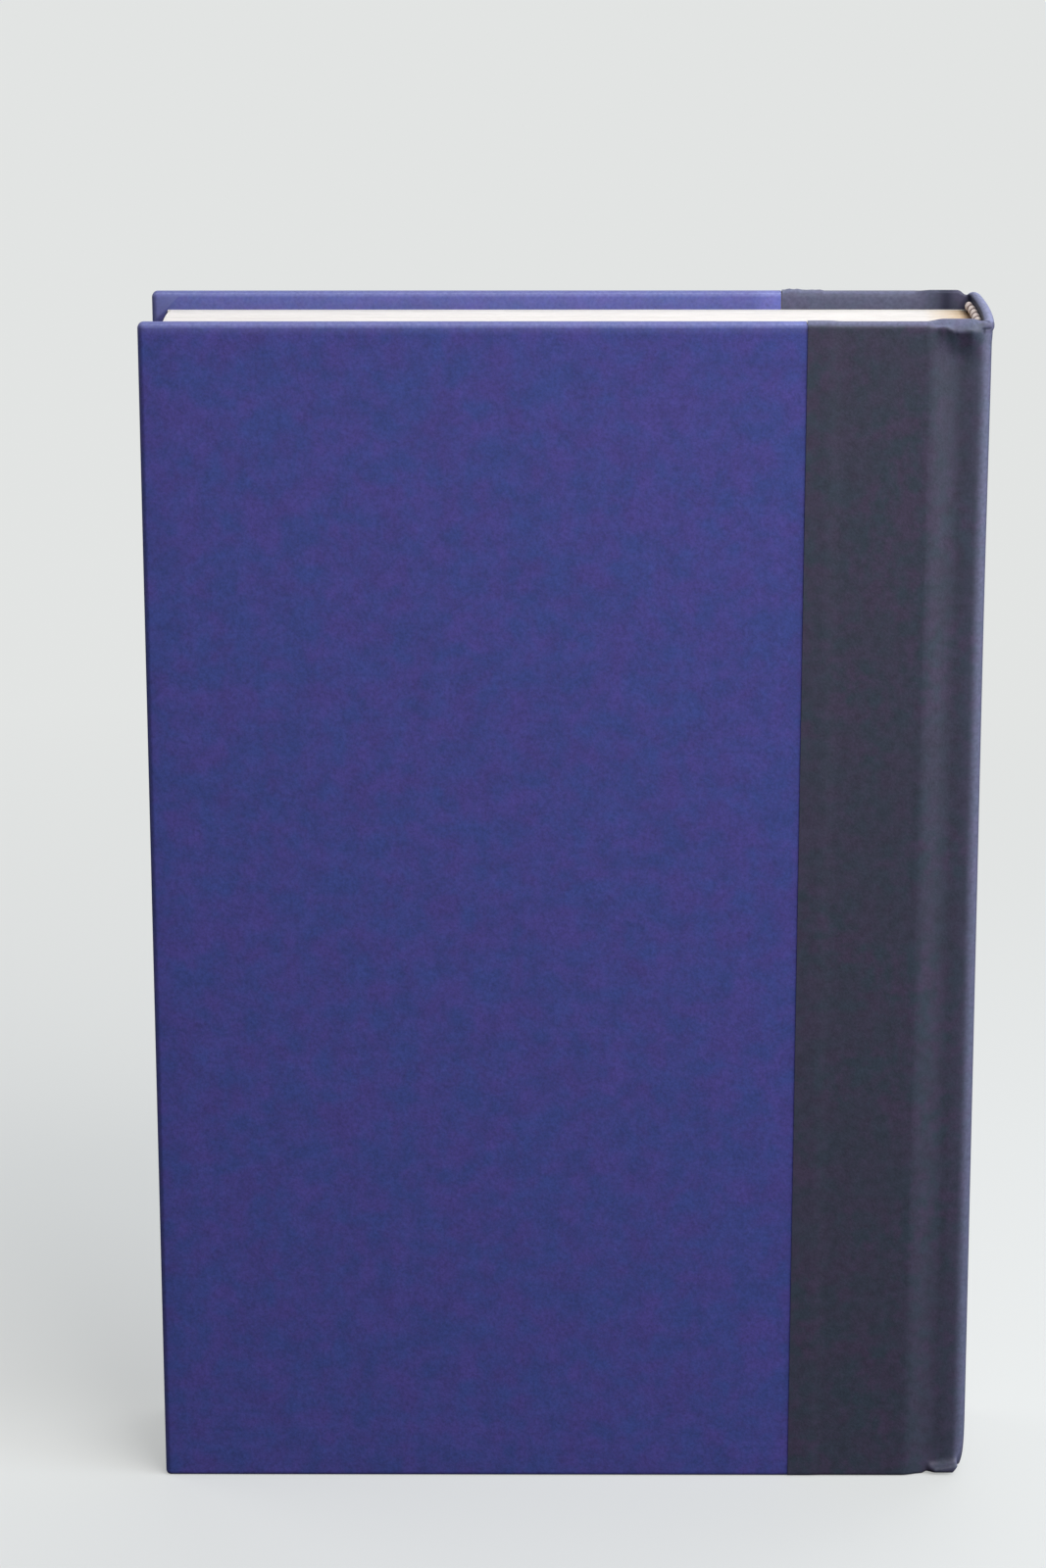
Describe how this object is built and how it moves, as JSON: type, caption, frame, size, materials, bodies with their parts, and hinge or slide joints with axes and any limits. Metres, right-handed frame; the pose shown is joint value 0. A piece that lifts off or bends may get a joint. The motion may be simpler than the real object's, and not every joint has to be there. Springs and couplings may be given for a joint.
{
  "type": "hardback book",
  "caption": "Upright quarter-bound hardback book with blue paper sides, a dark spine strip and covers that open on grooved hinges.",
  "frame": {"origin": "middle of the footprint of the closed book standing on its tail", "axes": "+Z from tail to head, +X from fore edge to spine, -Y out of the back cover"},
  "size_m": [0.1648, 0.0364, 0.241],
  "materials": {
    "pages": "matt uncoated book paper",
    "endpaper": "matt laid-down endpaper",
    "mull": "open starched cotton",
    "kraft": "brown kraft paper",
    "band": "beaded cotton in two colours",
    "greyboard": "dense greyboard",
    "side_paper": "matt violet-blue covering paper",
    "spine_cloth": "matt blue-black fine covering"
  },
  "bodies": {
    "book_block": {"page_block": "pages", "back_flyleaf": "endpaper", "front_flyleaf": "endpaper", "spine_mull": "mull", "spine_lining": "kraft", "headband": "band", "tailband": "band", "spine_inlay": "greyboard", "spine_cloth": "spine_cloth"},
    "back_joint": {"back_joint_cloth": "spine_cloth", "back_joint_mull": "mull", "back_joint_endpaper": "endpaper"},
    "back_cover": {"back_board": "greyboard", "back_side_paper": "side_paper", "back_cloth_wing": "spine_cloth", "back_mull_flange": "mull", "back_pastedown": "endpaper"},
    "front_joint": {"front_joint_cloth": "spine_cloth", "front_joint_mull": "mull", "front_joint_endpaper": "endpaper"},
    "front_cover": {"front_board": "greyboard", "front_side_paper": "side_paper", "front_cloth_wing": "spine_cloth", "front_mull_flange": "mull", "front_pastedown": "endpaper"}
  },
  "joints": [
    {"name": "back_shoulder_fold", "type": "hinge", "parent": "book_block", "child": "back_joint", "pos_m": [0.07798, -0.0157, 0.1205], "axis": [0, 0, 1], "range_deg": [0, 90]},
    {"name": "back_cover_fold", "type": "hinge", "parent": "back_joint", "child": "back_cover", "pos_m": [0.07137, -0.0157, 0.1205], "axis": [0, 0, 1], "range_deg": [0, 90]},
    {"name": "front_shoulder_fold", "type": "hinge", "parent": "book_block", "child": "front_joint", "pos_m": [0.07798, 0.0157, 0.1205], "axis": [0, 0, -1], "range_deg": [0, 90]},
    {"name": "front_cover_fold", "type": "hinge", "parent": "front_joint", "child": "front_cover", "pos_m": [0.07137, 0.0157, 0.1205], "axis": [0, 0, -1], "range_deg": [0, 90]}
  ],
  "couplings": [
    {"joint": "back_shoulder_fold", "follows": "back_cover_fold", "ratio": 1},
    {"joint": "front_shoulder_fold", "follows": "front_cover_fold", "ratio": 1}
  ]
}
